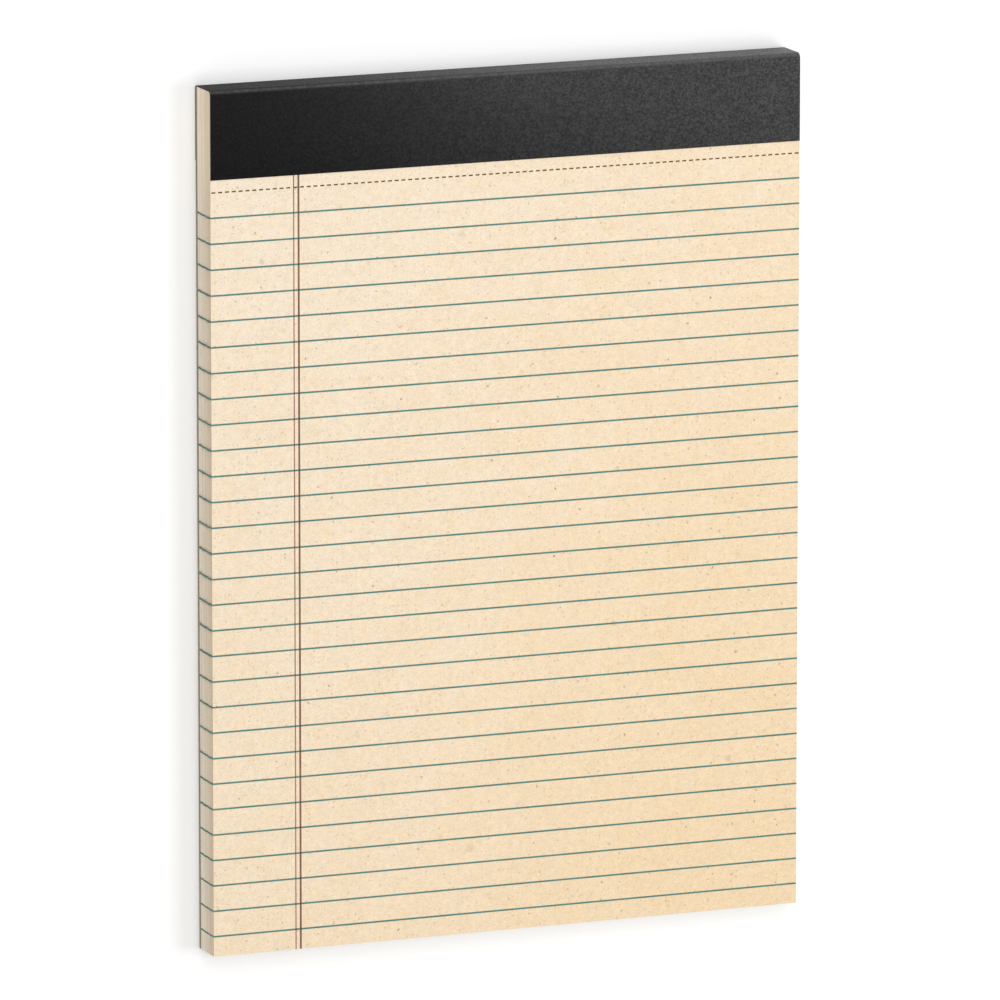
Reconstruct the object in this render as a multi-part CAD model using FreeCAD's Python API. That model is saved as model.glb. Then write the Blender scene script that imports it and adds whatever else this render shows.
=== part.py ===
import FreeCAD, Part
import os

# Legal pad that lies on its back: ruled sheets on a chipboard, stapled at the head and bound with a tape
# that folds over the head. X runs to the right as the page is read, Y towards the taped head and Z up
# out of the front page. The origin is the centre of the pad's outer size, on the plane it lies on.
# All sizes are in millimetres.

# Sheets
sheet_width = 215.9
sheet_height = 298.45
sheet_thickness = 0.125
sheet_count = 100

# Chipboard behind the sheets
board_thickness = 1.5

# Binding tape: how far it covers the page and the board's back, and the stack's soft corners under it
tape_thickness = 0.25
tape_on_front = 30.2
tape_on_back = 25.4
front_fold_radius = 1.6
back_fold_radius = 0.8

# Perforation below the tape: short slits through every sheet
perforation_below_tape = 4.25
slit_length = 1.5
slit_spacing = 2.43
slit_width = 0.5
slit_to_side = 0.3

# Printed rules, which bleed over both side edges of every sheet
first_rule_below_perforation = 8.65
rule_spacing = 8.87
rule_width = 0.6
rule_ink_depth = 0.1
clear_foot = 6.0

# Printed margin: a bold and a fine line over the rules, down to the foot edge and over it
margin_from_left = 31.75
margin_line_gap = 1.75
bold_line_width = 0.68
fine_line_width = 0.42
margin_ink_depth = 0.05
margin_under_tape = 3.0

# Flat wire staples under the tape
staple_count = 3
staple_spacing = 72.0
staple_below_head = 12.0
staple_crown = 13.0
staple_clinch = 4.5
staple_bend_radius = 0.4
wire_thickness = 0.5
wire_width = 0.7

# Levels of the stack, from the back up
board_bottom = tape_thickness
board_top = board_bottom + board_thickness
page_top = board_top + sheet_count * sheet_thickness
pad_thickness = page_top + tape_thickness

# Outline, with the foot, the sheets' head edge and the two side edges
pad_length = sheet_height + tape_thickness
foot = -pad_length / 2
sheet_head = foot + sheet_height
left_side = -sheet_width / 2

# Stations down the page
front_tape_edge = sheet_head - tape_on_front
back_tape_edge = sheet_head - tape_on_back
perforation_line = front_tape_edge - perforation_below_tape
first_rule = perforation_line - first_rule_below_perforation


def slab(x, y, z):
    """A block between the low and high ends given along each axis."""
    size = [high - low for low, high in (x, y, z)]
    return Part.makeBox(*size, FreeCAD.Vector(x[0], y[0], z[0]))


def across(width, middle=0.0):
    """The low and high end of a width about its middle."""
    return middle - width / 2, middle + width / 2


def even_places(count, spacing):
    """Places for a count of like features, spread evenly about the centre."""
    return [(index - (count - 1) / 2) * spacing for index in range(count)]


def corner(centre, radius, start, end):
    """A quarter arc in the YZ plane from start to end, both in quarter turns from +Y towards +Z."""
    points = []
    for quarter in (start, (start + end) / 2, end):
        turn = FreeCAD.Rotation(FreeCAD.Vector(1, 0, 0), quarter * 90)
        points.append(centre + turn.multVec(FreeCAD.Vector(0, radius, 0)))
    return Part.Arc(*points).toShape()


def folded_stack(head, back, front, back_radius, front_radius):
    """A full width stack from the foot to the head, with rounded corners along the head edge."""
    left = left_side
    back_centre = FreeCAD.Vector(left, head - back_radius, back + back_radius)
    front_centre = FreeCAD.Vector(left, head - front_radius, front - front_radius)
    back_arc = corner(back_centre, back_radius, -1, 0)
    front_arc = corner(front_centre, front_radius, 0, 1)
    back_foot = FreeCAD.Vector(left, foot, back)
    front_foot = FreeCAD.Vector(left, foot, front)
    edges = [
        Part.makeLine(back_foot, back_arc.firstVertex().Point),
        back_arc,
        Part.makeLine(back_arc.lastVertex().Point, front_arc.firstVertex().Point),
        front_arc,
        Part.makeLine(front_arc.lastVertex().Point, front_foot),
        Part.makeLine(front_foot, back_foot),
    ]
    return Part.Face(Part.Wire(edges)).extrude(FreeCAD.Vector(sheet_width, 0, 0))


def binding_tape(stack):
    """The tape's sheet, folded round the stack's head and trimmed to its two flaps."""
    wrap = folded_stack(
        sheet_head + tape_thickness,
        0.0,
        pad_thickness,
        back_fold_radius + tape_thickness,
        front_fold_radius + tape_thickness,
    )
    below_front_flap = slab(across(sheet_width), (foot, front_tape_edge), (page_top, pad_thickness))
    below_back_flap = slab(across(sheet_width), (foot, back_tape_edge), (0.0, board_bottom))
    return wrap.cut([stack, below_front_flap, below_back_flap])


def staple(x):
    """One clinched staple of flat wire, its crown flush with the page and its ends with the board."""
    outer_radius = staple_bend_radius + wire_thickness
    thickness = (board_bottom, page_top)
    width = across(wire_width, sheet_head - staple_below_head)
    inside = (board_bottom + wire_thickness, page_top - wire_thickness)
    loop = slab(across(staple_crown, x), width, thickness)
    hole = slab(across(staple_crown - 2 * wire_thickness, x), width, inside)
    loop = loop.makeFillet(outer_radius, edges_along_y(loop))
    hole = hole.makeFillet(staple_bend_radius, edges_along_y(hole))
    between_ends = slab(across(staple_crown - 2 * staple_clinch, x), width, (board_bottom, inside[0]))
    return loop.cut([hole, between_ends])


def edges_along_y(block):
    """The four long edges of a block that run along Y."""
    return [edge for edge in block.Edges if abs(edge.tangentAt(edge.FirstParameter).y) > 0.99]


def perforation():
    """The slits of the tear line, evenly spaced and ending close to both side edges."""
    room = sheet_width - 2 * slit_to_side
    bridge = slit_spacing - slit_length
    count = int((room + bridge) / slit_spacing)
    spacing = slit_spacing + (room + bridge - count * slit_spacing) / count
    row = across(slit_width, perforation_line)
    return [slab(across(slit_length, x), row, (board_top, page_top)) for x in even_places(count, spacing)]


def rule(y):
    """One rule: a bar of ink across the front page and down both sides of the block."""
    bar = slab(across(sheet_width), across(rule_width, y), (board_top, page_top))
    paper = slab(
        across(sheet_width - 2 * rule_ink_depth),
        across(rule_width, y),
        (board_top, page_top - rule_ink_depth),
    )
    return bar.cut(paper)


def rule_stations():
    """The heights of the rules on the page, from the first rule down to the clear foot."""
    room = first_rule - foot - clear_foot
    return [first_rule - index * rule_spacing for index in range(int(room / rule_spacing) + 1)]


def margin_line(width, x):
    """One margin line: a bar of ink from under the tape down the page and over the foot edge."""
    start = front_tape_edge + margin_under_tape
    bar = slab(across(width, x), (foot, start), (board_top, page_top))
    paper = slab(
        across(width, x), (foot + margin_ink_depth, start), (board_top, page_top - margin_ink_depth)
    )
    return bar.cut(paper)


def build_nodes():
    """Every node of the pad as a list of its solids, under the node's name."""
    stack = folded_stack(sheet_head, board_bottom, page_top, back_fold_radius, front_fold_radius)
    sheets = slab(across(sheet_width), (foot, sheet_head), (board_top, page_top))
    slits = perforation()
    staples = [staple(x) for x in even_places(staple_count, staple_spacing)]

    bold_line = margin_line(bold_line_width, left_side + margin_from_left)
    fine_line = margin_line(fine_line_width, left_side + margin_from_left - margin_line_gap)
    margin = [line.cut(slits) for line in (bold_line, fine_line)]
    rules = [rule(y).cut(margin) for y in rule_stations()]

    page_block = stack.common(sheets).cut(slits + staples + margin + rules)
    backing_board = stack.cut([sheets] + staples)
    return {
        "page_block": page_block.Solids,
        "backing_board": backing_board.Solids,
        "binding_tape": binding_tape(stack).Solids,
        "rule_lines": [solid for bar in rules for solid in bar.Solids],
        "margin_lines": [solid for line in margin for solid in line.Solids],
        "staples": [solid for clip in staples for solid in clip.Solids],
    }


os.makedirs("parts", exist_ok=True)
for name, solids in build_nodes().items():
    node = solids[0] if len(solids) == 1 else Part.makeCompound(solids)
    node.exportStep(os.path.join("parts", name + ".step"))
    print(name, len(solids), "solids", round(node.Volume, 1), "mm3")
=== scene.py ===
"""Dresses a legal pad that lies on its back: ruled sheets on a chipboard, with black tape over the head.

X runs to the right as the page is read, Y towards the taped head and Z up out of the front page. Sizes
are in millimetres, and become metres where a mesh is made.
"""

import logging
import math
import random
from abc import ABC, abstractmethod
from collections.abc import Iterable, Sequence
from dataclasses import dataclass
from enum import Enum
from typing import ClassVar

import bmesh
import bpy
from bmesh.types import BMEdge, BMesh, BMFace, BMVert
from bpy.types import ID, Material, Node, NodeSocket, NodeTree, Object, World
from mathutils import Matrix, Vector


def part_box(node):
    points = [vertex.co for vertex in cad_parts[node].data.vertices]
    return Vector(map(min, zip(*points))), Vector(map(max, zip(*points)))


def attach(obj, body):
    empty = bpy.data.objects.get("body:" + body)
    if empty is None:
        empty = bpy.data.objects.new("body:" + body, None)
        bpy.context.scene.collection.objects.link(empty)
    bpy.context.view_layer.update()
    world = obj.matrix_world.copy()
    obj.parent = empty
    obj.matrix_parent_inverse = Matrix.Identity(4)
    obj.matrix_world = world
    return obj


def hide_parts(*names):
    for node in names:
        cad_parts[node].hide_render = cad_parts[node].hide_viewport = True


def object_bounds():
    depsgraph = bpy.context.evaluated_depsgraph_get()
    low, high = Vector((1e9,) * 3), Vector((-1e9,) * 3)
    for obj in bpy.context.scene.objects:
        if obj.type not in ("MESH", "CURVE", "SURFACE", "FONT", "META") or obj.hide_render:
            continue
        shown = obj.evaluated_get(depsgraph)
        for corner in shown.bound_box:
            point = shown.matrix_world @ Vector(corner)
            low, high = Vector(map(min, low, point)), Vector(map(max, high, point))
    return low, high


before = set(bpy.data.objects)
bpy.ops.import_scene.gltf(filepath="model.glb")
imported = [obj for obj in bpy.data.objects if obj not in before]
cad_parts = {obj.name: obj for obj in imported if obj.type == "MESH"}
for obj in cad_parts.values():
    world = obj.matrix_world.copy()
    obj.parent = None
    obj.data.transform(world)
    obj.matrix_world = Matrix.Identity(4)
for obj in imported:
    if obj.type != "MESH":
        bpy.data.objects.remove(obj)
cad_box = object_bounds()

log = logging.getLogger("legal_pad")

MM = 0.001
BODY = "root"
BAKE_MAP = "OFBake"

Colour = tuple[float, float, float, float]
Term = NodeSocket | float | tuple[float, ...]
Triple = tuple[float, float, float]
Sockets = dict[str, NodeSocket]


def tone(red: int, green: int, blue: int) -> Colour:
    """A colour for a shader from its three levels on a screen, each 0 to 255."""
    levels = [level / 255 for level in (red, green, blue)]
    linear = [v / 12.92 if v <= 0.04045 else ((v + 0.055) / 1.055) ** 2.4 for v in levels]
    return (*linear, 1.0)


class Axis(Enum):
    """The pad's axes, by their place in a vector."""

    X = 0
    Y = 1
    Z = 2


@dataclass(frozen=True)
class Block:
    """A box from its low to its high corner, in millimetres."""

    low: Vector
    high: Vector

    @classmethod
    def of_node(cls, node: str) -> "Block":
        """The box of a CAD node."""
        low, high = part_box(node)
        return cls(low / MM, high / MM)

    @property
    def size(self) -> Vector:
        """The box's size along each axis."""
        return self.high - self.low

    @property
    def middle(self) -> Vector:
        """The box's centre."""
        return (self.low + self.high) / 2

    def matrix(self) -> Matrix:
        """The transform that turns a unit cube about the origin into this box."""
        return Matrix.Translation(self.middle) @ Matrix.Diagonal((*self.size, 1.0))


# Shader nodes


class Sketch:
    """Adds nodes to a tree, feeds their sockets and hands back what they put out."""

    def __init__(self, tree: NodeTree) -> None:
        """Takes the tree of a material, a world or a group."""
        self.tree = tree

    @classmethod
    def fresh(cls, owner: Material | World) -> "Sketch":
        """An empty sketch in place of the nodes of a material or a world."""
        owner.use_nodes = True
        owner.node_tree.nodes.clear()
        return cls(owner.node_tree)

    def feed(self, socket: NodeSocket, term: Term) -> None:
        """Links a socket to another one's output, or sets its own value.

        Args:
            socket: The input to feed.
            term: An output to link, or a number, vector or colour to set.
        """
        if isinstance(term, NodeSocket):
            self.tree.links.new(term, socket)
        else:
            socket.default_value = term

    def node(self, kind: str, terms: dict[str | int, Term] | None = None, **settings: object) -> Node:
        """Adds a node.

        Args:
            kind: The node's type, such as ShaderNodeMath.
            terms: What feeds its inputs, by their name or number.
            **settings: The node's own settings.

        Returns:
            The new node.
        """
        made = self.tree.nodes.new(kind)
        for key, setting in settings.items():
            setattr(made, key, setting)
        for key, term in (terms or {}).items():
            self.feed(made.inputs[key], term)
        return made

    def math(self, operation: str, *terms: Term) -> NodeSocket:
        """The result of a Math node on one to three terms."""
        return self.node("ShaderNodeMath", dict(enumerate(terms)), operation=operation).outputs[0]

    def joined(self, operation: str, first: Term, *others: Term) -> Term:
        """The result of an operation on two terms, then on that and the next, and so on."""
        for other in others:
            first = self.math(operation, first, other)
        return first

    def plus(self, *terms: Term) -> Term:
        """The sum of several terms."""
        return self.joined("ADD", *terms)

    def times(self, *terms: Term) -> Term:
        """The product of several terms."""
        return self.joined("MULTIPLY", *terms)

    def vector_math(self, operation: str, *terms: Term) -> NodeSocket:
        """The vector that a Vector Math node makes of one to three terms."""
        return self.node("ShaderNodeVectorMath", dict(enumerate(terms)), operation=operation).outputs[0]

    def scaled(self, vector: Term, factor: Term) -> NodeSocket:
        """A vector times a number."""
        terms = {"Vector": vector, "Scale": factor}
        return self.node("ShaderNodeVectorMath", terms, operation="SCALE").outputs[0]

    def ramp(self, value: Term, start: Term, end: Term, low: Term = 0.0, high: Term = 1.0) -> NodeSocket:
        """A value that goes smoothly from low to high while another goes from start to end."""
        terms = {"Value": value, "From Min": start, "From Max": end, "To Min": low, "To Max": high}
        return self.node("ShaderNodeMapRange", terms, interpolation_type="SMOOTHSTEP").outputs[0]

    def blend(self, factor: Term, start: Term, end: Term, mode: str = "MIX") -> NodeSocket:
        """A colour that goes from start to end with the factor.

        Args:
            factor: How much of the end shows, 0 to 1.
            start: The colour at factor 0.
            end: The colour at factor 1.
            mode: How the end goes on the start, such as MIX or MULTIPLY.

        Returns:
            The blended colour's socket.
        """
        terms = {0: factor, 6: start, 7: end}
        return self.node("ShaderNodeMix", terms, data_type="RGBA", blend_type=mode).outputs[2]

    def tinted(self, colour: Term, mask: Term, strength: float, tint: Colour) -> NodeSocket:
        """A colour with a tint laid over it where a mask shows, at that strength."""
        return self.blend(self.times(mask, strength), colour, tint)

    def shaded(self, colour: Term, *changes: Term) -> NodeSocket:
        """A colour made lighter or darker by the sum of some changes about zero."""
        return self.blend(1.0, colour, self.plus(1.0, *changes), "MULTIPLY")

    def cells(self, place: Term) -> tuple[Node, Node]:
        """Scattered flat cells a unit apart, and the three lots that each of them draws."""
        terms = {"Vector": place, "Scale": 1.0}
        voronoi = self.node("ShaderNodeTexVoronoi", terms, voronoi_dimensions="2D")
        return voronoi, self.node("ShaderNodeSeparateColor", {0: voronoi.outputs["Color"]})

    def noise(self, place: Term, scale: Term, detail: float = 2.0, roughness: float = 0.5) -> NodeSocket:
        """Smooth noise about one half, with scale features to a millimetre."""
        terms = {"Vector": place, "Scale": scale, "Detail": detail, "Roughness": roughness}
        return self.node("ShaderNodeTexNoise", terms).outputs[0]

    def place(self, stretch: Triple = (1.0, 1.0, 1.0)) -> NodeSocket:
        """The point on the pad in millimetres, shrunk along each axis by its stretch."""
        point = self.node("ShaderNodeTexCoord").outputs["Object"]
        return self.vector_math("MULTIPLY", point, tuple(1 / (MM * factor) for factor in stretch))

    def along(self, vector: Term, axis: Axis) -> NodeSocket:
        """One coordinate of a vector."""
        return self.node("ShaderNodeSeparateXYZ", {0: vector}).outputs[axis.value]

    def bump(self, height: Term, depth: float) -> NodeSocket:
        """The normal of a surface with a relief of that depth in millimetres."""
        terms = {"Height": height, "Distance": depth * MM, "Strength": 1.0}
        return self.node("ShaderNodeBump", terms).outputs[0]


class Effect(ABC):
    """A shader node group that several finishes share, built once."""

    name: ClassVar[str]
    inputs: ClassVar[dict[str, Term]]

    @abstractmethod
    def draw(self, sketch: Sketch, given: Sockets) -> NodeSocket:
        """Draws the group's nodes.

        Args:
            sketch: The group's tree.
            given: The group's inputs by name.

        Returns:
            The socket that the group puts out.
        """

    def tree(self) -> NodeTree:
        """The group's tree, which the first call builds."""
        built = bpy.data.node_groups.get(self.name)
        if built:
            return built
        built = bpy.data.node_groups.new(self.name, "ShaderNodeTree")
        for name, default in self.inputs.items():
            kind = "NodeSocketVector" if isinstance(default, tuple) else "NodeSocketFloat"
            built.interface.new_socket(name=name, in_out="INPUT", socket_type=kind)
        built.interface.new_socket(name="Mask", in_out="OUTPUT", socket_type="NodeSocketFloat")
        sketch = Sketch(built)
        entry = sketch.node("NodeGroupInput")
        given = {name: entry.outputs[name] for name in self.inputs}
        sketch.node("NodeGroupOutput", {"Mask": self.draw(sketch, given)})
        return built

    def on(self, sketch: Sketch, **terms: Term) -> NodeSocket:
        """Places the group in a finish.

        Args:
            sketch: The finish's tree.
            **terms: The inputs that differ from the group's own, by name.

        Returns:
            The group's mask.
        """
        made = sketch.node("ShaderNodeGroup", node_tree=self.tree())
        for name, term in {**self.inputs, **terms}.items():
            sketch.feed(made.inputs[name], term)
        return made.outputs["Mask"]


class Mottle(Effect):
    """Cloudy unevenness about zero, from the way that fibres clump."""

    name = "mottle"
    inputs = {"Place": (0.0, 0.0, 0.0), "Clumps": 1.0, "Contrast": 1.0}
    fine_to_coarse: ClassVar[float] = 3.7

    def draw(self, sketch: Sketch, given: Sockets) -> NodeSocket:
        """Two layers of noise, centred on zero and stretched by the contrast."""
        coarse = sketch.noise(given["Place"], given["Clumps"], 3.0, 0.6)
        fine_clumps = sketch.times(given["Clumps"], self.fine_to_coarse)
        fine = sketch.noise(given["Place"], fine_clumps)
        return sketch.times(sketch.plus(coarse, fine, -1.0), given["Contrast"])


class Flecks(Effect):
    """Scattered specks of odd sizes and strengths, at most one to a cell."""

    name = "flecks"
    inputs = {"Place": (0.0, 0.0, 0.0), "Cell": 6.0, "Share": 0.2, "Radius": 0.3}
    grain: ClassVar[float] = 0.8
    raggedness: ClassVar[float] = 2.6
    smallest: ClassVar[float] = 0.4
    faintest: ClassVar[float] = 0.35
    solid_core: ClassVar[float] = 0.45

    def draw(self, sketch: Sketch, given: Sockets) -> NodeSocket:
        """Cells, a share of which holds a speck with a ragged outline."""
        grain = sketch.math("DIVIDE", self.grain, given["Radius"])
        terms = {"Vector": given["Place"], "Scale": grain, "Detail": 1.0}
        warp = sketch.node("ShaderNodeTexNoise", terms).outputs["Color"]
        centred = sketch.vector_math("SUBTRACT", warp, (0.5, 0.5, 0.5))
        reach = sketch.times(given["Radius"], self.raggedness)
        ragged = sketch.vector_math("ADD", given["Place"], sketch.scaled(centred, reach))
        voronoi, lots = sketch.cells(sketch.scaled(ragged, sketch.math("DIVIDE", 1.0, given["Cell"])))
        present = sketch.math("LESS_THAN", lots.outputs[0], given["Share"])
        away = sketch.times(voronoi.outputs["Distance"], given["Cell"])
        growth = sketch.ramp(lots.outputs[1], 0.0, 1.0, self.smallest, 1.0)
        size = sketch.times(given["Radius"], growth)
        speck = sketch.ramp(away, sketch.times(size, self.solid_core), size, 1.0, 0.0)
        strength = sketch.ramp(lots.outputs[2], 0.0, 1.0, self.faintest, 1.0)
        return sketch.times(speck, present, strength)


class Fibres(Effect):
    """Scattered short fibres that lie flat, each bent its own way."""

    name = "fibres"
    inputs = {"Place": (0.0, 0.0, 0.0), "Cell": 3.0, "Share": 0.3, "Length": 1.6, "Width": 0.07}

    def draw(self, sketch: Sketch, given: Sockets) -> NodeSocket:
        """Cells, a share of which holds one fibre, drawn as a turned and bent line."""
        cells = sketch.scaled(given["Place"], sketch.math("DIVIDE", 1.0, given["Cell"]))
        voronoi, lots = sketch.cells(cells)
        present = sketch.math("LESS_THAN", lots.outputs[0], given["Share"])
        offset = sketch.vector_math("SUBTRACT", cells, voronoi.outputs["Position"])
        angle = sketch.times(lots.outputs[1], math.tau)
        terms = {"Vector": offset, "Angle": angle}
        turned = sketch.node("ShaderNodeVectorRotate", terms, rotation_type="Z_AXIS").outputs[0]
        local = sketch.node("ShaderNodeSeparateXYZ", {0: sketch.scaled(turned, given["Cell"])})
        lengthways = sketch.math("DIVIDE", local.outputs[0], given["Length"])
        bend = sketch.times(sketch.plus(lots.outputs[2], -0.5), given["Length"])
        arc = sketch.times(lengthways, lengthways, bend)
        sideways = sketch.math("ABSOLUTE", sketch.plus(local.outputs[1], arc))
        line = sketch.ramp(sideways, 0.0, given["Width"], 1.0, 0.0)
        ends = sketch.ramp(sketch.math("ABSOLUTE", lengthways), 0.35, 0.5, 1.0, 0.0)
        return sketch.times(line, ends, present)


class CreaseWearAndHighlight(Effect):
    """A band along a crease that runs across the pad, broken up by the grain: rubbing on the back fold, a
    painted highlight with some rubbing on the front fold.
    """

    name = "crease_wear_and_highlight"
    inputs = {"Place": (0.0, 0.0, 0.0), "Crease": (0.0, 0.0, 0.0), "Width": 0.8}

    def draw(self, sketch: Sketch, given: Sockets) -> NodeSocket:
        """A band about the crease, thinned by noise."""
        offset = sketch.vector_math("SUBTRACT", given["Place"], given["Crease"])
        beside = sketch.vector_math("MULTIPLY", offset, (0.0, 1.0, 1.0))
        away = sketch.node("ShaderNodeVectorMath", {0: beside}, operation="LENGTH").outputs["Value"]
        band = sketch.ramp(away, 0.0, given["Width"], 1.0, 0.0)
        patchy = sketch.ramp(sketch.noise(given["Place"], 0.5, 4.0, 0.7), 0.35, 0.65, 0.55, 1.0)
        return sketch.times(band, patchy)


@dataclass(frozen=True)
class Layer:
    """Flecks or fibres of one tint in pulp, the sizes of their group, and how strongly they show."""

    tint: Colour
    effect: Effect
    strength: float
    sizes: dict[str, float]

    def over(self, sketch: Sketch, place: Term, colour: Term) -> NodeSocket:
        """A colour with this layer on it."""
        mask = self.effect.on(sketch, Place=place, **self.sizes)
        return sketch.tinted(colour, mask, self.strength, self.tint)


class Finish(ABC):
    """A surface finish, which makes one material."""

    name: ClassVar[str]

    @abstractmethod
    def draw(self, sketch: Sketch) -> dict[str, Term]:
        """Draws the finish.

        Args:
            sketch: The material's tree.

        Returns:
            What feeds the Principled shader, by the names of its sockets.
        """

    @staticmethod
    def dull(colour: Term, roughness: Term, gloss: float, normal: Term) -> dict[str, Term]:
        """What feeds the shader of a surface that isn't metal."""
        return {"Base Color": colour, "Roughness": roughness, "Specular IOR Level": gloss, "Normal": normal}

    def material(self) -> Material:
        """The finish as a material."""
        made = bpy.data.materials.new(self.name)
        sketch = Sketch.fresh(made)
        shader = sketch.node("ShaderNodeBsdfPrincipled", self.draw(sketch))
        sketch.node("ShaderNodeOutputMaterial", {"Surface": shader.outputs[0]})
        return made


@dataclass(frozen=True)
class NaturalPaper(Finish):
    """Unbleached recycled writing paper: cream, mottled, with bark flecks and stray fibres."""

    name = "cream_paper"
    fresh: Colour = tone(246, 230, 207)
    shaded_tone: Colour = tone(242, 216, 178)
    warm: Colour = tone(246, 219, 172)
    bark: Colour = tone(112, 82, 54)
    straw: Colour = tone(196, 142, 84)
    pale: Colour = tone(250, 240, 222)
    shade_across: float = 130.0
    shade_down: float = 170.0
    relief_depth: float = 0.012

    def layers(self) -> tuple[Layer, ...]:
        """What lies in the pulp, from the palest up."""
        return (
            Layer(self.pale, Fibres(), 0.35, {"Cell": 2.3, "Share": 0.5, "Length": 1.5, "Width": 0.09}),
            Layer(self.bark, Fibres(), 0.22, {"Cell": 4.1, "Share": 0.22, "Length": 2.0, "Width": 0.1}),
            Layer(self.straw, Flecks(), 0.36, {"Cell": 1.7, "Share": 0.36, "Radius": 0.46}),
            Layer(self.bark, Flecks(), 0.4, {"Cell": 3.7, "Share": 0.26, "Radius": 0.46}),
            Layer(self.bark, Flecks(), 0.62, {"Cell": 8.3, "Share": 0.3, "Radius": 0.56}),
            Layer(self.bark, Flecks(), 0.2, {"Cell": 19.0, "Share": 0.35, "Radius": 1.5}),
        )

    def draw(self, sketch: Sketch) -> dict[str, Term]:
        """Painted shade, darker and warmer towards the foot and the right, then mottling, flecks, fibres
        and a fine tooth.
        """
        place = sketch.place()
        across, down = sketch.along(place, Axis.X), sketch.along(place, Axis.Y)
        # Painted shade: the page grows darker and warmer towards the right and the foot, mixed with random
        # clouding.
        rightwards = sketch.ramp(across, -self.shade_across, self.shade_across, 0.0, 0.5)
        footwards = sketch.ramp(down, self.shade_down, -self.shade_down, 0.0, 0.5)
        cloud = Mottle().on(sketch, Place=place, Clumps=0.02, Contrast=0.5)
        colour = sketch.blend(sketch.plus(rightwards, footwards, cloud), self.fresh, self.shaded_tone)

        patches = sketch.ramp(sketch.noise(place, 0.22, 3.0, 0.6), 0.5, 0.75, 0.0, 0.45)
        colour = sketch.blend(patches, colour, self.warm)
        clumps = Mottle().on(sketch, Place=place, Clumps=0.6, Contrast=0.26)
        tooth = Mottle().on(sketch, Place=place, Clumps=1.7, Contrast=0.3)
        colour = sketch.shaded(colour, clumps, tooth)
        for layer in self.layers():
            colour = layer.over(sketch, place, colour)

        relief = sketch.plus(sketch.noise(place, 1.3, 4.0, 0.65), sketch.noise(place, 5.0, 2.0))
        return self.dull(colour, 0.82, 0.2, sketch.bump(relief, self.relief_depth))


@dataclass(frozen=True)
class CutEdges(Finish):
    """The guillotined edges of the sheets: fine lines along the stack, and painted shade that makes them
    greyer towards the front.
    """

    name = "cut_paper_edges"
    lit_back_tone: Colour = tone(252, 243, 226)
    shaded_front_tone: Colour = tone(232, 214, 188)
    shade: Colour = tone(208, 190, 162)
    corner_shade: Colour = tone(176, 160, 132)
    low: float = 1.75
    high: float = 14.25
    corner_shade_height: float = 0.7
    clean_from: float = 95.0
    clean_to: float = 140.0
    clean_gain: float = 0.09

    def draw(self, sketch: Sketch) -> dict[str, Term]:
        """Painted shade through the stack, tones for sheets and bundles, a painted shade band at the front
        corner, lighter towards the head.
        """
        place = sketch.place()
        level = sketch.along(place, Axis.Z)
        # Painted shade: the edges go from a lighter tone at the back to a greyer one at the front, for how
        # the light falls on them.
        front = sketch.ramp(level, self.low, self.high)
        colour = sketch.blend(front, self.lit_back_tone, self.shaded_front_tone)
        lines = sketch.place((90.0, 90.0, 1.0))
        sheets = sketch.ramp(sketch.noise(lines, 5.5, 2.0, 0.6), 0.42, 0.72, 0.0, 0.48)
        colour = sketch.blend(sheets, colour, self.shade)
        bundles = sketch.ramp(sketch.noise(lines, 0.9, 1.0), 0.4, 0.7, 0.0, 0.32)
        colour = sketch.blend(bundles, colour, self.shade)
        # Painted shade: a darker band along the top of the side edges, at the front corner.
        corner = sketch.ramp(level, self.high - self.corner_shade_height, self.high)
        colour = sketch.blend(corner, colour, self.corner_shade)
        clumps = Mottle().on(sketch, Place=place, Clumps=0.9, Contrast=0.08)
        to_head = sketch.along(place, Axis.Y)
        clean = sketch.ramp(to_head, self.clean_from, self.clean_to, 0.0, self.clean_gain)
        colour = sketch.shaded(colour, clean, clumps)
        return self.dull(colour, 0.9, 0.15, sketch.bump(sketch.noise(lines, 7.0, 3.0, 0.7), 0.03))


@dataclass(frozen=True)
class PrintedInk(Finish):
    """Thin printed ink, denser in some spots than others, with the paper's tooth showing through."""

    name: str
    ink: Colour
    thin: Colour
    overprint: Colour = (0.0, 0.0, 0.0, 1.0)
    crossed_from: float = 0.0
    crossed_every: float = 0.0
    crossed_width: float = 0.0
    streak: float = 0.35
    soft_edge: float = 0.06

    def crossing(self, sketch: Sketch, place: NodeSocket) -> NodeSocket:
        """Finds where this ink lies over rules that cross it at even distances.

        Args:
            sketch: The material's tree.
            place: The point on the pad.

        Returns:
            A mask of the crossings.
        """
        half_gap, half_width = self.crossed_every / 2, self.crossed_width / 2
        down = sketch.math("SUBTRACT", sketch.along(place, Axis.Y), self.crossed_from - half_gap)
        nearest = sketch.math("SUBTRACT", sketch.math("WRAP", down, self.crossed_every, 0.0), half_gap)
        away = sketch.math("ABSOLUTE", nearest)
        return sketch.ramp(away, half_width, half_width + self.soft_edge, 1.0, 0.0)

    def draw(self, sketch: Sketch) -> dict[str, Term]:
        """Ink that thins out where the paper dips, in streaks and in fine pinholes."""
        place = sketch.place()
        runs = sketch.ramp(sketch.noise(place, 0.16, 3.0, 0.6), 0.35, 0.7, 0.0, self.streak)
        pinholes = sketch.ramp(sketch.noise(place, 5.0, 2.0, 0.6), 0.55, 0.8, 0.0, self.streak)
        colour = sketch.blend(sketch.plus(runs, pinholes), self.ink, self.thin)
        if self.crossed_every:
            colour = sketch.blend(self.crossing(sketch, place), colour, self.overprint)
        return self.dull(colour, 0.7, 0.25, sketch.bump(sketch.noise(place, 2.0, 3.0), 0.008))


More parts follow.
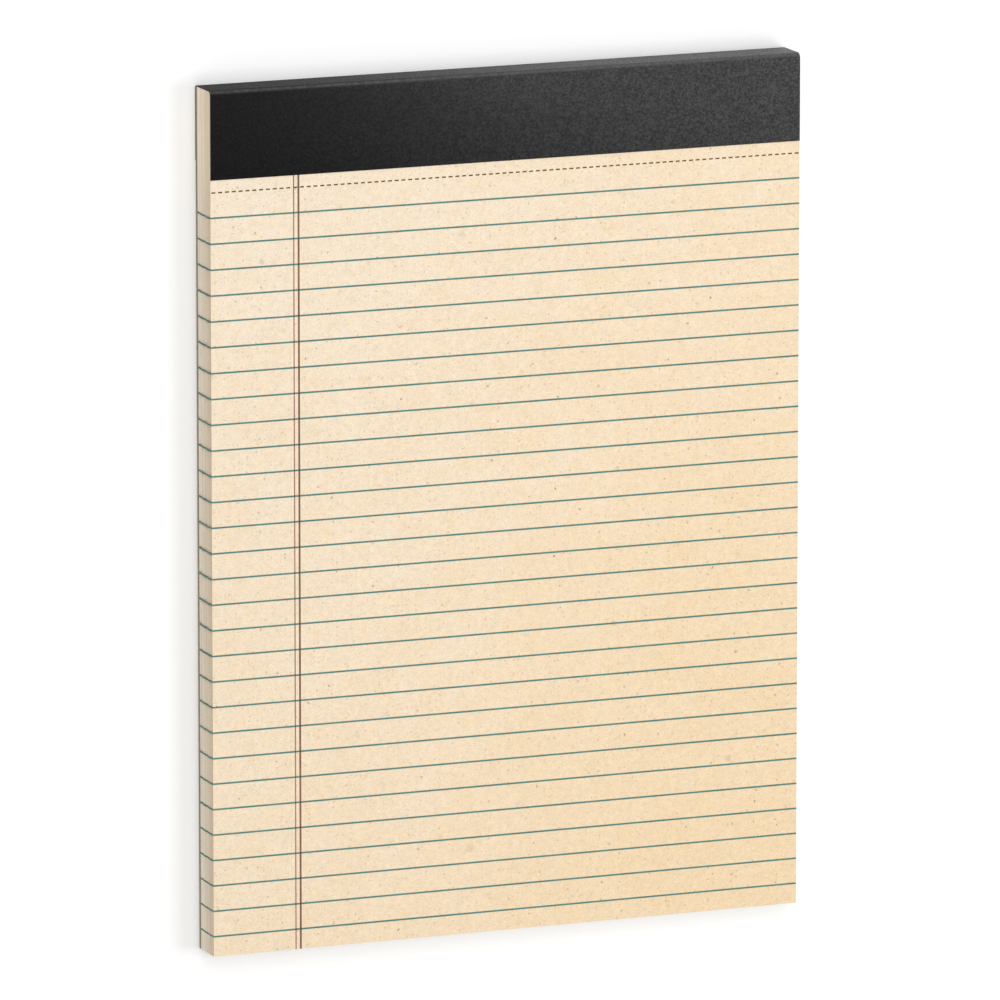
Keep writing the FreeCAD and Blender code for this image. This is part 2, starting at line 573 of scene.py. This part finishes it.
@dataclass(frozen=True)
class Chipboard(Finish):
    """Grey-brown recycled board with pale and dark fibres and scraps in it."""

    name = "grey_chipboard"
    ground: Colour = tone(158, 144, 122)
    dark: Colour = tone(92, 80, 66)
    pale: Colour = tone(198, 188, 168)
    lean: Triple = (3.1, 2.6, 0.0)
    relief_depth: float = 0.06

    def layers(self) -> tuple[Layer, ...]:
        """What lies in the pulp."""
        return (
            Layer(self.dark, Fibres(), 0.5, {"Cell": 1.9, "Share": 0.45, "Length": 1.7, "Width": 0.1}),
            Layer(self.pale, Fibres(), 0.6, {"Cell": 2.6, "Share": 0.5, "Length": 2.2, "Width": 0.12}),
            Layer(self.dark, Flecks(), 0.7, {"Cell": 2.4, "Share": 0.3, "Radius": 0.3}),
            Layer(self.pale, Flecks(), 0.7, {"Cell": 5.0, "Share": 0.25, "Radius": 0.5}),
        )

    def draw(self, sketch: Sketch) -> dict[str, Term]:
        """Mottled ground and pulp that leans, so that it also shows on the cut edges."""
        place = sketch.place()
        clouds = Mottle().on(sketch, Place=place, Clumps=0.12, Contrast=0.22)
        clumps = Mottle().on(sketch, Place=place, Clumps=1.1, Contrast=0.34)
        colour = sketch.shaded(self.ground, clouds, clumps)
        lean = sketch.scaled(self.lean, sketch.along(place, Axis.Z))
        pulp = sketch.vector_math("ADD", place, lean)
        for layer in self.layers():
            colour = layer.over(sketch, pulp, colour)
        relief = sketch.plus(sketch.noise(place, 0.8, 4.0, 0.7), sketch.noise(place, 4.0, 2.0))
        return self.dull(colour, 0.88, 0.15, sketch.bump(relief, self.relief_depth))


@dataclass(frozen=True)
class BlackTape(Finish):
    """Black fibre paper tape with a fine grain, rubbed a little where it folds, with a painted highlight
    along the front fold and a painted sheen towards the right.
    """

    name = "black_fibre_tape"
    front_crease: Triple
    back_crease: Triple
    ground: Colour = tone(8, 8, 9)
    grain_light: Colour = tone(23, 23, 24)
    sheen_ground: Colour = tone(54, 54, 55)
    sheen_grain: Colour = tone(102, 102, 103)
    rubbed_and_highlight: Colour = tone(112, 111, 110)
    sheen_from: float = -110.0
    sheen_to: float = 200.0
    front_highlight_and_wear: float = 0.6
    back_wear: float = 0.35
    crease_band_width: float = 1.1
    relief_depth: float = 0.11

    def draw(self, sketch: Sketch) -> dict[str, Term]:
        """Grain in the colour, the gloss and the relief, a painted sheen lighter to the right, rubbing
        along the back fold, and a painted highlight with some rubbing along the front fold.
        """
        place = sketch.place()
        pebbles = Mottle().on(sketch, Place=place, Clumps=1.2, Contrast=1.8)
        # Painted sheen: the tape's colour grows lighter towards the right, next to the real gloss from the
        # sheen softbox.
        painted_sheen = sketch.ramp(sketch.along(place, Axis.X), self.sheen_from, self.sheen_to)
        dark = sketch.blend(painted_sheen, self.ground, self.sheen_ground)
        light = sketch.blend(painted_sheen, self.grain_light, self.sheen_grain)
        blotches = Mottle().on(sketch, Place=place, Clumps=0.3, Contrast=0.45)
        grain = sketch.plus(pebbles, blotches)
        colour = sketch.blend(sketch.ramp(grain, -0.4, 0.5), dark, light)
        creases = ((self.front_crease, self.front_highlight_and_wear), (self.back_crease, self.back_wear))
        # The front crease's band is a painted highlight with some rubbing; the back crease's band is
        # rubbing.
        for crease, strength in creases:
            crease_band = CreaseWearAndHighlight().on(sketch, Place=place, Crease=crease, Width=self.crease_band_width)
            colour = sketch.tinted(colour, crease_band, strength, self.rubbed_and_highlight)
        fibres = Fibres().on(sketch, Place=place, Cell=2.2, Share=0.4, Length=1.6, Width=0.08)
        colour = sketch.tinted(colour, fibres, 0.12, self.rubbed_and_highlight)
        fine = sketch.noise(place, 3.2, 3.0, 0.6)
        relief = sketch.plus(sketch.noise(place, 1.1, 3.0, 0.6), sketch.times(fine, 0.6))
        roughness = sketch.ramp(pebbles, -0.4, 0.4, 0.55, 0.38)
        return self.dull(colour, roughness, 0.16, sketch.bump(relief, self.relief_depth))


@dataclass(frozen=True)
class StapleWire(Finish):
    """Zinc coated flat steel wire, drawn along its length."""

    name = "flat_steel_wire"

    def draw(self, sketch: Sketch) -> dict[str, Term]:
        """Drawn streaks in the gloss over a slightly uneven coat."""
        place = sketch.place()
        coat = sketch.blend(sketch.noise(place, 1.5, 3.0), tone(178, 180, 184), tone(204, 205, 207))
        streaks = sketch.noise(sketch.place((12.0, 1.0, 12.0)), 9.0, 3.0)
        return {
            "Base Color": coat,
            "Metallic": 1.0,
            "Roughness": sketch.ramp(streaks, 0.3, 0.7, 0.24, 0.42),
            "Normal": sketch.bump(streaks, 0.01),
        }


# Meshes


@dataclass(frozen=True)
class MapBand:
    """A band across the bake map, and the stretch of the pad along two axes that fills it."""

    axes: tuple[Axis, Axis]
    low: Vector
    high: Vector
    rows: tuple[float, float]

    def share(self, point: Vector, axis: Axis) -> float:
        """How far along an axis a point is, 0 at the low end and 1 at the high end."""
        start, end = self.low[axis.value], self.high[axis.value]
        return (point[axis.value] - start) / (end - start)

    def fill(self, mesh: BMesh, faces: Iterable[BMFace]) -> None:
        """Lays faces out on the band.

        Args:
            mesh: The mesh, whose bake map is made if it has none.
            faces: The faces to lay out.
        """
        layers = mesh.loops.layers.uv
        layer = layers.get(BAKE_MAP) or layers.new(BAKE_MAP)
        sideways, upwards = self.axes
        bottom, top = self.rows
        for face in faces:
            for loop in face.loops:
                point = loop.vert.co
                rise = self.share(point, upwards) * (top - bottom)
                loop[layer].uv = (self.share(point, sideways), bottom + rise)


def placed(name: str, data: ID) -> Object:
    """Puts an object with this data into the scene."""
    made = bpy.data.objects.new(name, data)
    bpy.context.scene.collection.objects.link(made)
    return made


def mesh_object(name: str, mesh: BMesh) -> Object:
    """Puts a mesh into the scene as an object."""
    data = bpy.data.meshes.new(name)
    mesh.to_mesh(data)
    mesh.free()
    return placed(name, data)


def box(mesh: BMesh, block: Block) -> None:
    """Adds a box to a mesh."""
    bmesh.ops.create_cube(mesh, size=1.0, matrix=block.matrix())


def rectangle(mesh: BMesh, block: Block) -> None:
    """Adds a box's top face to a mesh."""
    matrix = Matrix.Translation((0.0, 0.0, block.high.z - block.middle.z)) @ block.matrix()
    bmesh.ops.create_grid(mesh, x_segments=1, y_segments=1, size=0.5, matrix=matrix)


def thicken(mesh: BMesh, thickness: float) -> None:
    """Gives the open faces of a mesh a thickness, inwards from where they are."""
    bmesh.ops.solidify(mesh, geom=mesh.faces[:], thickness=thickness)
    bmesh.ops.recalc_face_normals(mesh, faces=mesh.faces)


def bevel(mesh: BMesh, edges: Iterable[BMEdge], radius: float, segments: int) -> None:
    """Rounds some edges of a mesh.

    Args:
        mesh: The mesh that holds the edges.
        edges: The edges to round, some perhaps named twice.
        radius: The radius of the rounding.
        segments: How many strips the rounding gets.
    """
    geom = list(dict.fromkeys(edges))
    rounding = {"offset": radius, "segments": segments, "profile": 0.5, "affect": "EDGES"}
    bmesh.ops.bevel(mesh, geom=geom, material=-1, **rounding)


def edges_at(mesh: BMesh, **place: float) -> list[BMEdge]:
    """Finds the edges of a mesh that lie in some planes.

    Args:
        mesh: The mesh to search.
        **place: Where the planes are, such as y=0.

    Returns:
        The edges with both ends in every plane.
    """
    found = []
    for edge in mesh.edges:
        gaps = [getattr(vert.co, axis) - at for vert in edge.verts for axis, at in place.items()]
        if all(abs(gap) < 1e-3 for gap in gaps):
            found.append(edge)
    return found


class Piece(ABC):
    """A piece of the pad that is modelled here and stands for a CAD node."""

    name: ClassVar[str]
    node: ClassVar[str]
    slot: ClassVar[str]

    @abstractmethod
    def shape(self) -> BMesh:
        """The piece's mesh in millimetres."""

    @abstractmethod
    def finishes(self) -> Sequence[Finish]:
        """The finishes of the piece's faces, by their material number."""

    def make(self) -> None:
        """Builds the piece, dresses it and fixes it to the pad."""
        mesh = self.shape()
        bmesh.ops.scale(mesh, vec=(MM, MM, MM), verts=mesh.verts)
        made = mesh_object(self.name, mesh)
        for finish in self.finishes():
            made.data.materials.append(finish.material())
        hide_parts(self.node)
        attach(made, BODY)
        log.info("%s: %d faces, stands for %s", self.name, len(made.data.polygons), self.node)


@dataclass(frozen=True)
class TearLine:
    """The row of slits below the tape, the same in every sheet."""

    tape_edge: float
    sheet_width: float
    below_tape: float = 4.25
    slit_length: float = 1.5
    slit_width: float = 0.5
    slit_spacing: float = 2.43
    slit_to_side: float = 0.3

    def middles(self) -> list[float]:
        """The middle of each slit, evenly spread across the sheet."""
        bridge = self.slit_spacing - self.slit_length
        room = self.sheet_width - 2 * self.slit_to_side + bridge
        count = int(room / self.slit_spacing)
        return [(index - (count - 1) / 2) * room / count for index in range(count)]

    def mark(self, mesh: BMesh, faces: list[BMFace]) -> list[BMFace]:
        """Cuts the outlines of the slits into flat faces.

        Args:
            mesh: The mesh that holds the faces.
            faces: Level faces, some of which cross the tear line.

        Returns:
            The new faces within the slits.
        """
        half = self.slit_width / 2
        middle_line = self.tape_edge - self.below_tape
        xs = [vert.co.x for face in faces for vert in face.verts]
        first, last = min(xs), max(xs)
        for y in (middle_line - half, middle_line + half):
            faces = self.bisect(mesh, faces, Axis.Y, y)
        row = [face for face in faces if abs(face.calc_center_bounds().y - middle_line) < half]
        for middle in self.middles():
            for x in (middle - self.slit_length / 2, middle + self.slit_length / 2):
                if first < x < last:
                    row = self.bisect(mesh, row, Axis.X, x)
        return [face for face in row if self.holds(face.calc_center_bounds().x)]

    def holds(self, x: float) -> bool:
        """True where a point of the row is within a slit."""
        return any(abs(x - middle) < self.slit_length / 2 for middle in self.middles())

    @staticmethod
    def bisect(mesh: BMesh, faces: list[BMFace], axis: Axis, at: float) -> list[BMFace]:
        """Cuts faces across an axis.

        Args:
            mesh: The mesh that holds the faces.
            faces: The faces to cut.
            axis: The axis to cut across.
            at: Where on the axis the cut is.

        Returns:
            All the faces, the new ones too.
        """
        edges = dict.fromkeys(edge for face in faces for edge in face.edges)
        verts = dict.fromkeys(vert for face in faces for vert in face.verts)
        geom = [*faces, *edges, *verts]
        normal = Vector((0.0, 0.0, 0.0))
        normal[axis.value] = 1.0
        cut = bmesh.ops.bisect_plane(mesh, geom=geom, dist=1e-5, plane_co=normal * at, plane_no=normal)
        return [item for item in cut["geom"] if isinstance(item, BMFace)]


@dataclass(frozen=True)
class SheetTrim:
    """How one sheet lies: its slip to the right, its recess at the edges and the shift of its print."""

    bottom: float
    slip: float
    recess: float
    print_shift: float


@dataclass(frozen=True)
class Ream:
    """The sheets of the pad, and how evenly those below the front page lie."""

    block: Block
    count: int = 100
    film: float = 0.012
    slip: float = 0.022
    drift: float = 0.13
    seed: int = 17
    slip_waves: tuple[Triple, ...] = ((1.3, 0.4, 0.6), (3.1, 2.0, 0.4))
    print_waves: tuple[Triple, ...] = ((0.8, 1.1, 0.5), (2.3, 0.0, 0.5))

    @property
    def thickness(self) -> float:
        """The thickness of one sheet."""
        return self.block.size.z / self.count

    @staticmethod
    def swell(turn: float, waves: tuple[Triple, ...]) -> float:
        """The sum of some waves, each with its pitch, start and height."""
        return sum(math.sin(pitch * turn + start) * height for pitch, start, height in waves)

    def trims(self) -> list[SheetTrim]:
        """How each sheet below the front page lies, from the back up, in waves and random steps."""
        lots = random.Random(self.seed)
        trims = []
        for index in range(self.count):
            turn = index / self.count * math.tau
            slip = self.slip * (self.swell(turn, self.slip_waves) + lots.uniform(-0.6, 0.6))
            recess = self.slip * (2.0 + lots.uniform(-0.3, 0.3))
            shift = self.drift * (self.swell(turn, self.print_waves) + lots.uniform(-0.3, 0.3))
            trims.append(SheetTrim(self.block.low.z + index * self.thickness, slip, recess, shift))
        return trims[:-1]


@dataclass
class PageStack(Piece):
    """The sheets under the front page, with a groove between each two and the slits of the tear line."""

    name = "page_stack"
    node = "page_block"
    slot = "natural_paper"

    ream: Ream
    tear_line: TearLine
    fold_radius: float = 1.6
    groove: float = 0.02
    groove_end: float = 0.25
    next_groove: float = 0.8
    slit_depth: float = 0.9
    row_pitch: ClassVar[float] = 0.2
    row_height: ClassVar[float] = 0.19
    level_rows: ClassVar[tuple[float, float]] = (0.81, 1.0)

    def head(self, z: float) -> float:
        """How far the stack reaches towards the head, round the soft corner under the tape.

        Args:
            z: The level on the stack.

        Returns:
            The place of the head edge along Y.
        """
        block = self.ream.block
        over = z - (block.high.z - self.fold_radius)
        if over <= 0:
            return block.high.y
        return block.high.y - self.fold_radius + math.sqrt(max(self.fold_radius**2 - over**2, 0.0))

    def rings(self) -> list[Triple]:
        """The level, slip and recess of each outline of the stack, three to a sheet."""
        step = self.ream.thickness
        profile = ((0.0, self.groove), (self.groove_end, 0.0), (self.next_groove, 0.0))
        rings = []
        for trim in self.ream.trims():
            for share, deeper in profile:
                rings.append((trim.bottom + share * step, trim.slip, trim.recess + deeper))
        level, slip, recess = rings[-1]
        top = level + (1.0 - self.next_groove) * step - self.ream.film
        return [*rings, (top, slip, recess + self.groove)]

    def outline(self, verts: Iterable[BMVert], ring: Triple) -> None:
        """Moves the corners of a level outline.

        Args:
            verts: The outline's four corners.
            ring: The level, slip and recess that they get.
        """
        level, slip, recess = ring
        block = self.ream.block
        for vert in verts:
            x = block.high.x - recess if vert.co.x > 0 else block.low.x + recess
            y = self.head(level) - recess if vert.co.y > 0 else block.low.y + recess
            vert.co = (x + slip, y, level)

    def shape(self) -> BMesh:
        """Extrudes the outline of the stack upwards, sheet by sheet."""
        mesh = bmesh.new()
        bmesh.ops.create_grid(mesh, x_segments=1, y_segments=1, size=1.0)
        rings = self.rings()
        self.outline(mesh.verts, rings[0])
        top = bottom = mesh.faces[:]
        for ring in rings[1:]:
            grown = bmesh.ops.extrude_face_region(mesh, geom=top)["geom"]
            if top is not bottom:
                bmesh.ops.delete(mesh, geom=top, context="FACES_ONLY")
            top = [item for item in grown if isinstance(item, BMFace)]
            self.outline(top[0].verts, ring)
        bmesh.ops.recalc_face_normals(mesh, faces=mesh.faces)
        slits = self.tear_line.mark(mesh, top)
        sunk = bmesh.ops.extrude_discrete_faces(mesh, faces=slits)["faces"]
        bmesh.ops.delete(mesh, geom=[face for face in slits if face.is_valid], context="FACES_ONLY")
        verts = list(dict.fromkeys(vert for face in sunk for vert in face.verts))
        bmesh.ops.translate(mesh, vec=(0.0, 0.0, -self.slit_depth), verts=verts)
        # The slits' walls and floors get the second finish, brown painted shade.
        for face in (face for vert in verts for face in vert.link_faces):
            face.material_index = 1
        self.lay_out(mesh)
        return mesh

    def lay_out(self, mesh: BMesh) -> None:
        """Gives each side of the stack a row of the bake map, and the level faces the rest.

        Args:
            mesh: The stack's mesh.
        """
        block = self.ream.block
        sides: dict[tuple[Axis, bool], list[BMFace]] = {
            (axis, high): [] for axis in (Axis.X, Axis.Y) for high in (True, False)
        }
        level = []
        for face in mesh.faces:
            normal = face.normal
            axis = max(Axis, key=lambda each: abs(normal[each.value]) * (0.5 if each is Axis.Z else 1.0))
            if axis is Axis.Z or face.material_index:
                level.append(face)
            else:
                sides[(axis, normal[axis.value] > 0)].append(face)
        for row, ((axis, _), faces) in enumerate(sides.items()):
            run = Axis.Y if axis is Axis.X else Axis.X
            start = row * self.row_pitch
            rows = (start, start + self.row_height)
            MapBand((run, Axis.Z), block.low, block.high, rows).fill(mesh, faces)
        MapBand((Axis.X, Axis.Y), block.low, block.high, self.level_rows).fill(mesh, level)

    def finishes(self) -> Sequence[Finish]:
        """The cut edges, and the paper within the slits, darkened with painted shade."""
        return (CutEdges(), SlitShade())


@dataclass(frozen=True)
class SlitShade(Finish):
    """The paper inside the slits of the tear line, darkened brown with painted shade."""

    name = "slit_painted_shade"
    ground: Colour = tone(182, 152, 118)

    def draw(self, sketch: Sketch) -> dict[str, Term]:
        """Brown painted shade, darker in some slits than in others."""
        place = sketch.place()
        colour = sketch.shaded(self.ground, Mottle().on(sketch, Place=place, Clumps=0.3, Contrast=0.5))
        return {"Base Color": colour, "Roughness": 0.95, "Specular IOR Level": 0.1}


@dataclass
class FrontPage(Piece):
    """The front sheet, with its slits right through."""

    name = "front_page"
    node = "page_block"
    slot = "natural_paper"

    ream: Ream
    tear_line: TearLine
    recess: float = 0.012
    under_fold: float = 1.5
    shown_rows: ClassVar[tuple[float, float]] = (0.0, 0.97)
    hidden_rows: ClassVar[tuple[float, float]] = (0.98, 1.0)

    def shape(self) -> BMesh:
        """Cuts the slits into one flat face and gives it the sheet's thickness."""
        block = self.ream.block
        low = block.low + Vector((self.recess, self.recess, 0.0))
        high = block.high - Vector((self.recess, self.under_fold, self.ream.film))
        mesh = bmesh.new()
        rectangle(mesh, Block(low, high))
        slits = self.tear_line.mark(mesh, mesh.faces[:])
        bmesh.ops.delete(mesh, geom=slits, context="FACES")
        thicken(mesh, self.ream.thickness)
        shown = [face for face in mesh.faces if face.normal.z > 0.5]
        hidden = [face for face in mesh.faces if face.normal.z <= 0.5]
        for rows, faces in ((self.shown_rows, shown), (self.hidden_rows, hidden)):
            MapBand((Axis.X, Axis.Y), low, high, rows).fill(mesh, faces)
        return mesh

    def finishes(self) -> Sequence[Finish]:
        """Writing paper all over."""
        return (NaturalPaper(),)


@dataclass
class RulePrint(Piece):
    """The rules: bars of ink across the front page, and a tick on both side edges of every sheet."""

    name = "rule_print"
    node = "rule_lines"
    slot = "rule_ink"

    ream: Ream
    width: float = 0.6
    spacing: float = 8.87
    sunk: float = 0.006
    below_top: float = 0.004
    tick_depth: float = 0.03
    proud: float = 0.006

    def stations(self) -> list[float]:
        """The height on the page of each rule, from the head down."""
        block = Block.of_node(self.node)
        first = block.high.y - self.width / 2
        gaps = round((block.size.y - self.width) / self.spacing)
        return [first - index * self.spacing for index in range(gaps + 1)]

    def shape(self) -> BMesh:
        """Builds one rule with its ticks, and repeats it down the page."""
        block = self.ream.block
        mesh = bmesh.new()
        first, *others = self.stations()
        foot, head = first - self.width / 2, first + self.width / 2
        low = Vector((block.low.x, foot, block.high.z - self.ream.film - self.sunk))
        high = Vector((block.high.x, head, block.high.z - self.below_top))
        box(mesh, Block(low, high))
        for trim in self.ream.trims():
            self.ticks(mesh, trim, foot, head)
        rule = [*mesh.verts, *mesh.edges, *mesh.faces]
        for station in others:
            copy = bmesh.ops.duplicate(mesh, geom=rule)["geom"]
            verts = [item for item in copy if isinstance(item, BMVert)]
            bmesh.ops.translate(mesh, vec=(0.0, station - first, 0.0), verts=verts)
        return mesh

    def ticks(self, mesh: BMesh, trim: SheetTrim, foot: float, head: float) -> None:
        """Adds a sheet's ticks at both ends of a rule.

        Args:
            mesh: The mesh to add to.
            trim: How the sheet lies.
            foot: The rule's lower edge.
            head: Its upper edge.
        """
        block = self.ream.block
        for edge, way in ((block.low.x + trim.recess, -1), (block.high.x - trim.recess, 1)):
            outer = edge + trim.slip + way * self.proud
            inner = edge + trim.slip - way * self.tick_depth
            low = Vector((min(inner, outer), foot + trim.print_shift, trim.bottom))
            high = Vector((max(inner, outer), head + trim.print_shift, trim.bottom + self.ream.thickness))
            box(mesh, Block(low, high))

    def finishes(self) -> Sequence[Finish]:
        """Blue-green ink."""
        return (PrintedInk("teal_ink", tone(78, 124, 118), tone(116, 156, 145)),)


@dataclass
class MarginPrint(Piece):
    """The margin: a fine and a bold line down the front page, with ticks on every sheet's foot edge."""

    name = "margin_print"
    node = "margin_lines"
    slot = "margin_ink"

    ream: Ream
    tear_line: TearLine
    bold: float = 0.68
    fine: float = 0.42
    sunk: float = 0.006
    tick_depth: float = 0.03
    proud: float = 0.006

    def lines(self) -> list[tuple[float, float]]:
        """The left and right edge of each line."""
        block = Block.of_node(self.node)
        return [(block.low.x, block.low.x + self.fine), (block.high.x - self.bold, block.high.x)]

    def shape(self) -> BMesh:
        """Cuts the slits out of two flat bars, thickens them and adds the ticks."""
        block = self.ream.block
        start = Block.of_node(self.node).high.y
        mesh = bmesh.new()
        for left, right in self.lines():
            low = Vector((left, block.low.y, block.low.z))
            rectangle(mesh, Block(low, Vector((right, start, block.high.z))))
        slits = self.tear_line.mark(mesh, mesh.faces[:])
        bmesh.ops.delete(mesh, geom=slits, context="FACES")
        thicken(mesh, self.ream.film + self.sunk)
        for left, right in self.lines():
            for trim in self.ream.trims():
                foot, top = block.low.y + trim.recess, trim.bottom + self.ream.thickness
                low = Vector((left + trim.slip, foot - self.proud, trim.bottom))
                box(mesh, Block(low, Vector((right + trim.slip, foot + self.tick_depth, top))))
        bold_left = self.lines()[1][0]
        for face in mesh.faces:
            face.material_index = 1 if face.calc_center_bounds().x > bold_left else 0
        return mesh

    def finishes(self) -> Sequence[Finish]:
        """Brick red ink, thinner on the fine line than on the bold one."""
        rules = RulePrint(self.ream)
        first, second = rules.stations()[:2]
        crossed = (tone(92, 72, 70), first, first - second, rules.width)
        fine_ink = PrintedInk("thin_brick_ink", tone(150, 110, 92), tone(184, 146, 122), *crossed)
        bold_ink = PrintedInk("brick_ink", tone(118, 84, 70), tone(160, 122, 100), *crossed)
        return (fine_ink, bold_ink)


@dataclass
class BackingBoard(Piece):
    """The chipboard that stiffens the pad, with crushed cut edges and a soft corner under the tape."""

    name = "chipboard_back"
    node = "backing_board"
    slot = "chipboard"

    edge_radius: float = 0.16
    edge_segments: int = 2
    fold_radius: float = 0.8
    fold_segments: int = 6

    def shape(self) -> BMesh:
        """Bevels a box: a large bevel under the fold, small ones round the cut edges."""
        block = Block.of_node(self.node)
        mesh = bmesh.new()
        box(mesh, block)
        bevel(mesh, edges_at(mesh, y=block.high.y, z=block.low.z), self.fold_radius, self.fold_segments)
        cut = edges_at(mesh, y=block.low.y)
        cut += edges_at(mesh, x=block.low.x) + edges_at(mesh, x=block.high.x)
        bevel(mesh, cut, self.edge_radius, self.edge_segments)
        return mesh

    def finishes(self) -> Sequence[Finish]:
        """Chipboard all over."""
        return (Chipboard(),)


@dataclass
class BindingTape(Piece):
    """The tape, folded from the front page over the head and on to the board's back."""

    name = "head_tape"
    node = "binding_tape"
    slot = "black_tape"

    thickness: float = 0.25
    front_radius: float = 1.6
    back_radius: float = 0.8
    on_back: float = 25.4
    fold_segments: int = 8

    def shape(self) -> BMesh:
        """Folds the outer face out of a box with two rounded edges, and thickens it inwards."""
        block = Block.of_node(self.node)
        mesh = bmesh.new()
        box(mesh, block)
        for level, radius in ((block.high.z, self.front_radius), (block.low.z, self.back_radius)):
            fold = edges_at(mesh, y=block.high.y, z=level)
            bevel(mesh, fold, radius + self.thickness, self.fold_segments)
        inside = [face for face in mesh.faces if abs(face.normal.x) > 0.9 or face.normal.y < -0.9]
        bmesh.ops.delete(mesh, geom=inside, context="FACES")
        for vert in mesh.verts:
            if vert.co.z < block.middle.z and vert.co.y < block.middle.y:
                vert.co.y = block.high.y - self.thickness - self.on_back
        thicken(mesh, self.thickness)
        for face in mesh.faces:
            face.smooth = True
        return mesh

    def crease(self, level: float, radius: float) -> Triple:
        """The middle of a fold's outer face.

        Args:
            level: The level of the flap that the fold starts from.
            radius: The fold's outer radius, negative where the fold turns up from the flap.

        Returns:
            A point on the crease.
        """
        drop = radius * (1 - math.sqrt(0.5))
        return (0.0, Block.of_node(self.node).high.y - abs(drop), level - drop)

    def finishes(self) -> Sequence[Finish]:
        """Black tape, rubbed along the back crease, with a painted highlight and some rubbing along the
        front crease.
        """
        block = Block.of_node(self.node)
        front = self.crease(block.high.z, self.front_radius + self.thickness)
        back = self.crease(block.low.z, -self.back_radius - self.thickness)
        return (BlackTape(front, back),)


# Studio


@dataclass(frozen=True)
class Softbox:
    """A square lamp that points at the pad, in metres and watts."""

    name: str
    place: Triple
    side: float
    power: float

    def make(self) -> None:
        """Hangs the lamp."""
        lamp = bpy.data.lights.new(self.name, "AREA")
        lamp.size = self.side
        lamp.energy = self.power
        hung = placed(self.name, lamp)
        hung.location = self.place
        hung.rotation_euler = (-Vector(self.place)).to_track_quat("-Z", "Y").to_euler()


@dataclass
class Studio:
    """A wide white floor, two softboxes, an even sky and a long lens above the pad's left, in metres."""

    turn_left: float = 22.0
    turn_to_head: float = 11.3
    distance: float = 4.2
    lens: float = 442.0
    floor_reach: float = 20.0
    sky: float = 0.5
    floor_tone: float = 0.86
    floor_glow: float = 0.2
    lamps: tuple[Softbox, ...] = (
        Softbox("key_softbox", (-0.5, 0.8, 2.1), 1.6, 19.0),
        Softbox("sheen_softbox", (0.62, -0.06, 1.15), 0.5, 4.6),
    )

    def make(self) -> None:
        """Sets up the floor, the light, the sky and the camera."""
        self.make_floor()
        for lamp in self.lamps:
            lamp.make()
        self.make_sky()
        self.make_camera()
        bpy.context.scene.view_settings.view_transform = "Standard"

    @staticmethod
    def seen(sketch: Sketch) -> NodeSocket:
        """A mask of the rays that show a background: from the camera, in gloss and through glass."""
        path = sketch.node("ShaderNodeLightPath")
        shown = path.outputs["Is Camera Ray"]
        for other in ("Is Glossy Ray", "Is Transmission Ray"):
            shown = sketch.math("MAXIMUM", shown, path.outputs[other])
        return shown

    def make_floor(self) -> None:
        """A pale floor at the level that the pad lies on."""
        mesh = bmesh.new()
        bmesh.ops.create_grid(mesh, x_segments=1, y_segments=1, size=self.floor_reach)
        floor = mesh_object("floor", mesh)
        paint = bpy.data.materials.new("floor_paint")
        sketch = Sketch.fresh(paint)
        grey = (self.floor_tone, self.floor_tone, self.floor_tone, 1.0)
        matt = sketch.node("ShaderNodeBsdfDiffuse", {"Color": grey})
        strength = sketch.times(self.seen(sketch), self.floor_glow)
        glow = sketch.node("ShaderNodeEmission", {"Strength": strength})
        both = sketch.node("ShaderNodeAddShader", {0: matt.outputs[0], 1: glow.outputs[0]})
        sketch.node("ShaderNodeOutputMaterial", {"Surface": both.outputs[0]})
        floor.data.materials.append(paint)

    def make_sky(self) -> None:
        """An even sky that is white where it is seen."""
        world = bpy.data.worlds.new("sky")
        bpy.context.scene.world = world
        sketch = Sketch.fresh(world)
        strength = sketch.ramp(self.seen(sketch), 0.0, 1.0, self.sky, 1.0)
        air = sketch.node("ShaderNodeBackground", {"Color": (1.0, 1.0, 1.0, 1.0), "Strength": strength})
        sketch.node("ShaderNodeOutputWorld", {"Surface": air.outputs[0]})

    def make_camera(self) -> None:
        """A long lens above the pad, turned to its left side and a little to its head."""
        camera = bpy.data.cameras.new("camera")
        camera.lens = self.lens
        camera.clip_end = 100.0
        left, up = math.radians(self.turn_left), math.radians(self.turn_to_head)
        back = Vector((-math.sin(left) * math.cos(up), math.sin(up), math.cos(left) * math.cos(up)))
        right = Vector((0.0, 1.0, 0.0)).cross(back).normalized()
        upward = back.cross(right)
        middle = (cad_box[0] + cad_box[1]) / 2
        turned = Matrix((right, upward, back)).transposed().to_4x4()
        made = placed("camera", camera)
        made.matrix_world = Matrix.Translation(middle + back * self.distance) @ turned
        bpy.context.scene.camera = made


def dress_staples() -> None:
    """Gives the staples, which stay as the CAD has them, their wire finish."""
    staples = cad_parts["staples"]
    wire = StapleWire().material()
    for slot in staples.material_slots:
        slot.material = wire
    log.info("staples: dressed as %s", wire.name)


def write_sizes() -> None:
    """Brings the scene's transforms up to date."""
    bpy.context.view_layer.update()


def main() -> None:
    """Builds the pad piece by piece, then the studio round it."""
    logging.basicConfig(level=logging.INFO, format="%(name)s %(message)s")
    ream = Ream(Block.of_node("page_block"))
    tape_edge = Block.of_node("binding_tape").low.y
    tear_line = TearLine(tape_edge, ream.block.size.x)
    pieces: tuple[Piece, ...] = (
        BackingBoard(),
        PageStack(ream, tear_line),
        FrontPage(ream, tear_line),
        RulePrint(ream),
        MarginPrint(ream, tear_line),
        BindingTape(),
    )
    for piece in pieces:
        piece.make()
    dress_staples()
    Studio().make()
    write_sizes()


if __name__ == "__main__":
    main()
